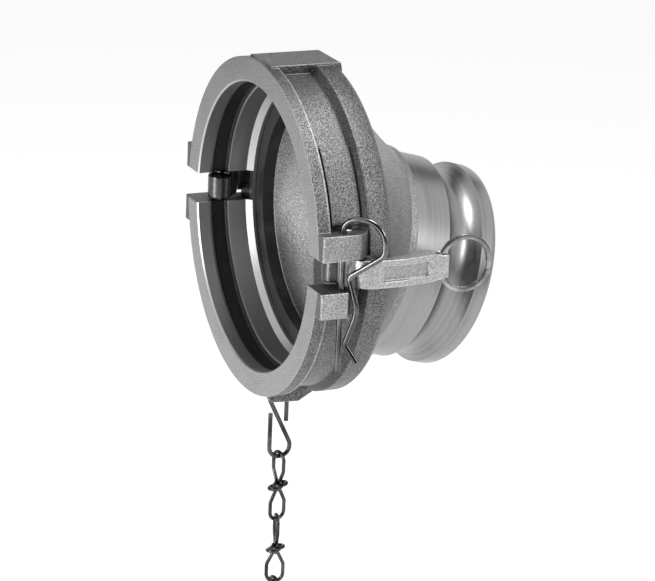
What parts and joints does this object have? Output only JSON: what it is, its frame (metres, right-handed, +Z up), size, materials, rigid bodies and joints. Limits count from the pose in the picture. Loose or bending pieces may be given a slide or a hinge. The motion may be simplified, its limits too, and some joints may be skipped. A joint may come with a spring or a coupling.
{
  "type": "cam and groove elbow adapter",
  "caption": "Hose coupling with a cam arm socket, an offset bend and a smaller grooved male end, with locking arms, wire safety clips and a hanging chain.",
  "frame": {"origin": "centre of the socket's mouth, on the front face", "axes": "+Y into the socket along its bore, +Z up along the pivot pins, +X towards the near arm"},
  "size_m": [0.231, 0.1399, 0.4764],
  "materials": {
    "cast_aluminium": "as cast, with turned bands",
    "rubber": "matte",
    "steel": "bright",
    "wire": "bright wire"
  },
  "bodies": {
    "coupler": {"elbow_casting": "cast_aluminium", "face_gasket": "rubber", "near_pivot_pin": "steel", "far_pivot_pin": "steel"},
    "near_locking_arm": {"near_arm": "cast_aluminium"},
    "near_ring": {"near_pull_ring": "wire"},
    "near_safety_clip": {"near_clip": "wire"},
    "far_locking_arm": {"far_arm": "cast_aluminium"},
    "far_ring": {"far_pull_ring": "wire"},
    "far_safety_clip": {"far_clip": "wire"},
    "hook": {"chain_hook": "wire"},
    "link_1": {"chain_link_1": "wire"},
    "link_2": {"chain_link_2": "wire"},
    "link_3": {"chain_link_3": "wire"},
    "link_4": {"chain_link_4": "wire"},
    "link_5": {"chain_link_5": "wire"},
    "end_piece": {"end_hook": "wire"}
  },
  "joints": [
    {"name": "near_arm_hinge", "type": "hinge", "parent": "coupler", "child": "near_locking_arm", "pos_m": [0.0915, 0.019, 0], "axis": [0, 0, 1], "range_deg": [-10, 0]},
    {"name": "near_ring_swing", "type": "hinge", "parent": "near_locking_arm", "child": "near_ring", "pos_m": [0.0965, 0.0737, 0], "axis": [0, 0, 1], "range_deg": [-90, 90]},
    {"name": "near_clip_swivel", "type": "hinge", "parent": "coupler", "child": "near_safety_clip", "pos_m": [0.0965, 0.0143, 0], "axis": [0, 0, 1], "range_deg": [-10, 0]},
    {"name": "far_arm_hinge", "type": "hinge", "parent": "coupler", "child": "far_locking_arm", "pos_m": [-0.0915, 0.019, 0], "axis": [0, 0, 1], "range_deg": [0, 10]},
    {"name": "far_ring_swing", "type": "hinge", "parent": "far_locking_arm", "child": "far_ring", "pos_m": [-0.0965, 0.0737, 0], "axis": [0, 0, 1], "range_deg": [-90, 90]},
    {"name": "far_clip_swivel", "type": "hinge", "parent": "coupler", "child": "far_safety_clip", "pos_m": [-0.0965, 0.0143, 0], "axis": [0, 0, 1], "range_deg": [0, 10]},
    {"name": "hook_swing", "type": "hinge", "parent": "coupler", "child": "hook", "pos_m": [0, 0.0216, -0.1002], "axis": [0, 1, 0], "range_deg": [-40, 40]},
    {"name": "link_1_swing", "type": "hinge", "parent": "hook", "child": "link_1", "pos_m": [0, 0.0234, -0.1432], "axis": [0, 1, 0], "range_deg": [-30, 30]},
    {"name": "link_2_swing", "type": "hinge", "parent": "link_1", "child": "link_2", "pos_m": [0, 0.0234, -0.18308], "axis": [-0.225, 0.9744, 0], "range_deg": [-30, 30]},
    {"name": "link_3_swing", "type": "hinge", "parent": "link_2", "child": "link_3", "pos_m": [0, 0.0234, -0.22316], "axis": [0.2079, 0.9781, 0], "range_deg": [-30, 30]},
    {"name": "link_4_swing", "type": "hinge", "parent": "link_3", "child": "link_4", "pos_m": [0, 0.0234, -0.26324], "axis": [-0.1392, 0.9903, 0], "range_deg": [-30, 30]},
    {"name": "link_5_swing", "type": "hinge", "parent": "link_4", "child": "link_5", "pos_m": [0, 0.0234, -0.30332], "axis": [0.1736, 0.9848, 0], "range_deg": [-30, 30]},
    {"name": "end_hook_swing", "type": "hinge", "parent": "link_5", "child": "end_piece", "pos_m": [0, 0.0234, -0.3434], "axis": [-0.0872, 0.9962, 0], "range_deg": [-30, 30]}
  ]
}
